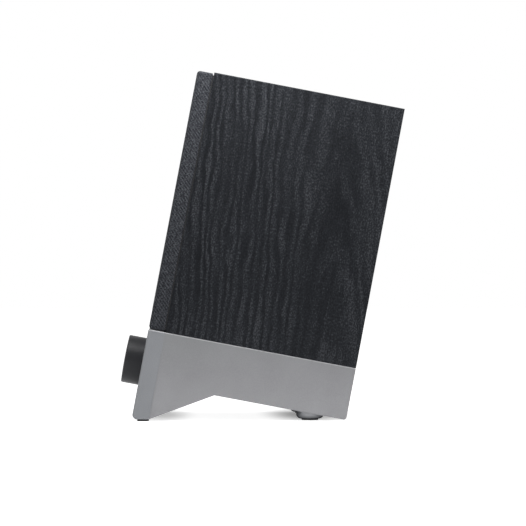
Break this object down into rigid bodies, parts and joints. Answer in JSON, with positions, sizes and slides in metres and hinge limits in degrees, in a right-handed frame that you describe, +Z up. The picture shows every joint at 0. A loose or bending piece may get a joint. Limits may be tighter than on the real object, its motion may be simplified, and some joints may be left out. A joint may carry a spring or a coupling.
{
  "type": "bookshelf speaker",
  "caption": "Desktop loudspeaker with a black veneered cabinet and cloth grille that leans back on a grey cast base, with a front volume knob, feet, drivers and amplifier inside.",
  "frame": {"origin": "on the desk plane, under the middle of the whole object", "axes": "+Z up from the desk, -Y the way the knob and the grille face, +X to the right as seen from the front"},
  "size_m": [0.132, 0.1886, 0.2308],
  "materials": {
    "black_veneer": "satin",
    "black_paint": "matte",
    "grey_casting": "satin",
    "grille_fabric": "woven",
    "knob_black": "satin",
    "black_plastic": "matte",
    "rubber_black": "matte",
    "satin_metal": "satin",
    "plated_steel": "plated",
    "black_steel": "satin",
    "ferrite": "matte",
    "cone_black": "matte",
    "spider_cloth": "woven",
    "dome_silk": "coated",
    "copper": "enamelled",
    "foam_grey": "soft",
    "board_green": "satin",
    "capacitor_sleeve": "gloss",
    "phono_colours": "gloss",
    "lead_insulation": "matte"
  },
  "bodies": {
    "cabinet": {"left_panel": "black_veneer", "right_panel": "black_veneer", "top_panel": "black_veneer", "bottom_panel": "black_veneer", "back_panel": "black_paint", "port_tube": "black_plastic", "damping_foam": "foam_grey", "front_baffle": "black_paint", "grille_sockets": "black_plastic", "driver_screws": "black_steel", "woofer_basket": "black_steel", "woofer_gasket": "rubber_black", "woofer_surround": "rubber_black", "woofer_spider": "spider_cloth", "woofer_top_plate": "plated_steel", "woofer_magnet": "ferrite", "woofer_yoke": "plated_steel", "woofer_terminals": "black_plastic", "tweeter_faceplate": "black_plastic", "tweeter_cup": "plated_steel", "tweeter_pole_plate": "plated_steel", "tweeter_magnet": "ferrite", "tweeter_surround": "dome_silk", "crossover_board": "board_green", "crossover_inductor": "copper", "crossover_capacitors": "capacitor_sleeve", "base_casting": "grey_casting", "bottom_cover": "black_steel", "connector_panel": "black_plastic", "case_screws": "black_steel", "cabinet_screws": "black_steel", "rear_feet": "satin_metal", "foot_pads": "rubber_black", "volume_control": "plated_steel", "control_nut": "plated_steel", "main_board": "board_green", "board_spacers": "black_plastic", "amplifier_chip": "black_plastic", "heat_sink": "satin_metal", "filter_capacitors": "capacitor_sleeve", "control_header": "black_plastic", "phono_housing": "black_plastic", "phono_barrels": "plated_steel", "phono_insulators": "phono_colours", "audio_jack": "black_plastic", "power_jack": "black_plastic", "amplifier_leads": "lead_insulation", "driver_leads": "lead_insulation", "control_leads": "lead_insulation"},
    "volume_knob": {"knob": "knob_black", "control_shaft": "plated_steel"},
    "woofer_cone_assembly": {"woofer_cone": "cone_black", "woofer_dust_cap": "cone_black", "voice_coil_former": "satin_metal", "voice_coil": "copper"},
    "tweeter_dome_assembly": {"tweeter_dome": "dome_silk", "tweeter_voice_coil": "copper"},
    "grille": {"grille_frame": "black_plastic", "grille_cloth": "grille_fabric"}
  },
  "joints": [
    {"name": "volume_turn", "type": "hinge", "parent": "cabinet", "child": "volume_knob", "pos_m": [0, -0.09196, 0.03986], "axis": [0, 0.9826, -0.1857], "range_deg": [-150, 150]},
    {"name": "woofer_travel", "type": "slide", "parent": "cabinet", "child": "woofer_cone_assembly", "axis": [0, -0.9826, 0.1857], "range_m": [-0.003, 0.003], "stiffness_N_per_m": 900, "deforming": ["woofer_surround", "woofer_spider"]},
    {"name": "tweeter_travel", "type": "slide", "parent": "cabinet", "child": "tweeter_dome_assembly", "axis": [0, -0.9826, 0.1857], "range_m": [-0.0003, 0.0003], "stiffness_N_per_m": 600, "deforming": ["tweeter_surround"]},
    {"name": "grille_pull", "type": "slide", "parent": "cabinet", "child": "grille", "axis": [0, -0.9826, 0.1857], "range_m": [0, 0.06]}
  ]
}
